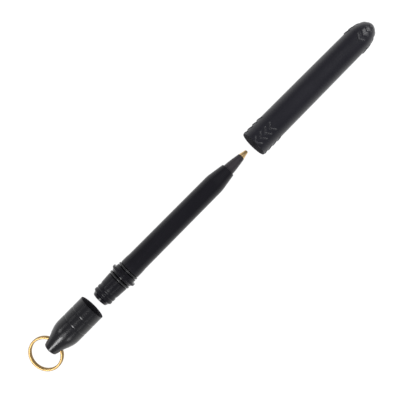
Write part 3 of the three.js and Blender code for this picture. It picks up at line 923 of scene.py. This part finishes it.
def rubber(name):
    finish = Finish(name, (0.012, 0.012, 0.013), roughness=0.3)
    finish.color(finish.noise(0.8, detail=3), first=(0.010, 0.010, 0.011), second=(0.018, 0.018, 0.019))
    finish.roughness(finish.noise(0.4, detail=3), low=0.24, high=0.36)
    finish.bump(finish.noise(0.12, detail=2), depth=0.001)
    return finish.material


def turned_brass(name):
    """Brass with fine rings left by the lathe, which run round X."""
    finish = Finish(name, (0.80, 0.56, 0.27), roughness=0.45, metallic=1)
    finish.color(finish.noise(0.9, detail=3), first=(0.78, 0.54, 0.25), second=(0.84, 0.60, 0.30))
    finish.roughness(finish.noise(0.12, detail=2, stretch=(0.3, 6, 6)), low=0.38, high=0.52)
    finish.bump(finish.noise(0.1, detail=2, stretch=(0.4, 20, 20)), depth=0.0005)
    return finish.material


def gold_plate(name):
    """Bright gold-coloured plating with small scratches and a little tarnish."""
    finish = Finish(name, (0.38, 0.25, 0.10), roughness=0.38, metallic=1)
    finish.color(finish.noise(1.6, detail=3), first=(0.36, 0.235, 0.09), second=(0.41, 0.275, 0.115))
    finish.roughness(finish.noise(0.8, detail=3), low=0.36, high=0.41)
    finish.bump(finish.noise(0.5, detail=2, stretch=(1, 5, 1)), depth=0.0003)
    return finish.material


def polished_metal(name):
    finish = Finish(name, (0.78, 0.7, 0.6), roughness=0.25, metallic=1)
    finish.roughness(finish.noise(0.15, detail=2), low=0.2, high=0.3)
    finish.bump(finish.noise(0.1, detail=2), depth=0.0006)
    return finish.material


def clear_plastic(name):
    finish = Finish(name, (0.86, 0.88, 0.9), roughness=0.2)
    finish.shader.inputs["Transmission Weight"].default_value = 0.85
    finish.roughness(finish.noise(1.0, detail=2, stretch=(10, 1, 1)), low=0.14, high=0.26)
    finish.bump(finish.noise(0.6, detail=2, stretch=(12, 1, 1)), depth=0.002)
    return finish.material


def liquid(name, color, lighter):
    finish = Finish(name, color, roughness=0.12)
    finish.color(finish.noise(1.2, detail=3, stretch=(3, 1, 1)), color, lighter)
    finish.roughness(finish.noise(0.8, detail=2), low=0.08, high=0.18)
    finish.bump(finish.noise(0.9, detail=1), depth=0.004)
    return finish.material


def make_cap_plastic():
    finish = satin_plastic(
        "cap_plastic",
        color=(0.010, 0.0098, 0.0145),
        lighter=(0.013, 0.0125, 0.018),
        rough=0.34,
        specular=0.4,
        grain_depth=0.003,
    )
    matt_inside_with_painted_light(finish, CAP_MOUTH, 1, CAP_SEAL_BORE)
    dull_mouth(finish, CAP_MOUTH, 1)
    return finish.material


def make_barrel_plastic():
    finish = smooth_plastic(
        "barrel_plastic",
        color=(0.006, 0.0055, 0.008),
        lighter=(0.008, 0.0075, 0.0105),
        rough=0.24,
        specular=0.3,
    )
    return finish.material


def make_end_cap_plastic():
    finish = smooth_plastic(
        "end_cap_plastic",
        color=(0.003, 0.003, 0.004),
        lighter=(0.0045, 0.0045, 0.006),
        rough=0.25,
        specular=0.55,
    )
    matt_inside_with_painted_light(finish, END_CAP_MOUTH, -1, END_CAP_SEAL_BORE)
    dull_mouth(finish, END_CAP_MOUTH, -1)
    return finish.material


def make_cone_plastic():
    finish = satin_plastic(
        "cone_plastic",
        color=(0.034, 0.029, 0.033),
        lighter=(0.040, 0.034, 0.039),
        rough=0.42,
        specular=0.45,
        grain_depth=0.004,
    )
    return finish.material


def make_pieces():
    cap_plastic = make_cap_plastic()
    barrel_plastic = make_barrel_plastic()
    end_cap_plastic = make_end_cap_plastic()
    cone_plastic = make_cone_plastic()
    seal_rubber = rubber("seal_rubber")
    brass = turned_brass("point_brass")
    gold = gold_plate("ring_gold")
    carbide = polished_metal("ball_carbide")
    tube = clear_plastic("tube_plastic")
    ink = liquid("ink", color=(0.004, 0.005, 0.012), lighter=(0.008, 0.01, 0.02))
    grease = liquid("grease", color=(0.6, 0.47, 0.2), lighter=(0.7, 0.57, 0.28))

    finished(make_barrel(), "barrel", ["barrel"], barrel_plastic)
    for name, node in (("front_seal", "front_seal_ring"), ("rear_seal", "rear_seal_ring")):
        finished(make_seal(name, node), "barrel", [node], seal_rubber)
    finished(make_nose_cone(), "barrel", ["nose_cone"], cone_plastic)
    finished(make_point(), "barrel", ["point_socket"], brass)
    finished(make_ink_tube(), "barrel", ["ink_tube"], tube)
    finished(make_filling("ink_rod", "ink_column"), "barrel", ["ink_column"], ink)
    finished(make_filling("grease_plug", "ink_follower"), "barrel", ["ink_follower"], grease)
    finished(make_ball(), "writing_ball", ["writing_ball"], carbide)
    finished(make_cap(), "cap", ["cap"], cap_plastic)
    finished(make_end_cap(), "end_cap", ["end_cap"], end_cap_plastic)
    finished(make_key_ring(), "key_ring", ["key_ring"], gold)


def make_floor():
    """A white floor that keeps a light shadow."""
    bm = bmesh.new()
    bmesh.ops.create_grid(bm, x_segments=1, y_segments=1, size=FLOOR_SIDE / 2)
    floor = new_object("floor", bm)
    floor.location = (0, 0, FLOOR_LEVEL * MM)
    material = bpy.data.materials.new("floor_white")
    material.use_nodes = True
    tree = material.node_tree
    tree.nodes.clear()
    light = tree.nodes.new("ShaderNodeLightPath")
    seen = light.outputs["Is Camera Ray"]
    for kind in ("Is Glossy Ray", "Is Transmission Ray"):
        seen = calculated(tree, "MAXIMUM", seen, light.outputs[kind])
    share = calculated(tree, "MULTIPLY", seen, FLOOR_GLOW_SHARE)
    diffuse = tree.nodes.new("ShaderNodeBsdfDiffuse")
    diffuse.inputs["Color"].default_value = (*FLOOR_COLOR, 1)
    glow = tree.nodes.new("ShaderNodeEmission")
    glow.inputs["Strength"].default_value = FLOOR_GLOW
    mix = tree.nodes.new("ShaderNodeMixShader")
    output = tree.nodes.new("ShaderNodeOutputMaterial")
    tree.links.new(share, mix.inputs["Fac"])
    tree.links.new(diffuse.outputs[0], mix.inputs[1])
    tree.links.new(glow.outputs[0], mix.inputs[2])
    tree.links.new(mix.outputs[0], output.inputs["Surface"])
    floor.data.materials.append(material)


def make_world():
    """Studio surroundings of a plain grey, a little brighter near the horizon."""
    world = bpy.data.worlds.new("studio")
    bpy.context.scene.world = world
    world.use_nodes = True
    tree = world.node_tree
    direction = tree.nodes.new("ShaderNodeTexCoord").outputs["Generated"]
    parts = tree.nodes.new("ShaderNodeSeparateXYZ")
    tree.links.new(direction, parts.inputs[0])
    fade = tree.nodes.new("ShaderNodeValToRGB")
    fade.color_ramp.interpolation = "EASE"
    stops = fade.color_ramp.elements
    stops[0].position = 0
    stops[0].color = (*SKY_HORIZON, 1)
    stops[1].position = SKY_TOP_PLACE
    stops[1].color = (*SKY_TOP, 1)
    stops.new(SKY_MIDDLE_PLACE).color = (*SKY_MIDDLE, 1)
    tree.links.new(parts.outputs["Z"], fade.inputs["Fac"])
    background = tree.nodes["Background"]
    background.inputs["Strength"].default_value = 1
    tree.links.new(fade.outputs["Color"], background.inputs["Color"])


def softbox(name, from_zenith, azimuth, width, length, brightness):
    """A soft lamp in the direction that two angles give, aimed at the pen's middle.
    Azimuth 0 is towards +X. Brightness 1 looks as bright as white."""
    target = Vector((BARREL_LENGTH / 2 * MM, 0, 0))
    a, b = math.radians(from_zenith), math.radians(azimuth)
    back = Vector((math.sin(a) * math.cos(b), math.sin(a) * math.sin(b), math.cos(a)))
    light = bpy.data.lights.new(name, "AREA")
    light.shape = "RECTANGLE"
    light.size = width
    light.size_y = length
    light.energy = brightness * math.pi * width * length
    lamp = bpy.data.objects.new(name, light)
    lamp.location = target + back * LAMP_DISTANCE
    lamp.rotation_mode = "QUATERNION"
    lamp.rotation_quaternion = (-back).to_track_quat("-Z", "Y")
    lamp.visible_camera = False
    bpy.context.scene.collection.objects.link(lamp)


def make_lights():
    for lamp in LAMPS:
        softbox(*lamp)
    for side, sign in (("left", 1), ("right", -1)):
        for name, from_zenith, azimuth, *rest in SIDE_LAMPS:
            softbox(side + "_" + name, from_zenith, azimuth * sign, *rest)


def make_camera():
    """Above the pen, turned so that it runs up to the right, as in the photograph."""
    data = bpy.data.cameras.new("camera")
    data.sensor_width = CAMERA_SENSOR_WIDTH
    data.lens = CAMERA_LENS
    camera = bpy.data.objects.new("camera", data)
    tilt = Matrix.Rotation(-math.radians(CAMERA_TILT), 4, "Y")
    roll = Matrix.Rotation(-math.radians(CAMERA_ROLL), 4, "Z")
    camera.matrix_world = Matrix.Translation(Vector(CAMERA_PLACE) * MM) @ tilt @ roll
    bpy.context.scene.collection.objects.link(camera)
    bpy.context.scene.camera = camera


make_camera()
make_world()
make_lights()
make_floor()
make_pieces()
bpy.context.scene.view_settings.view_transform = "Standard"
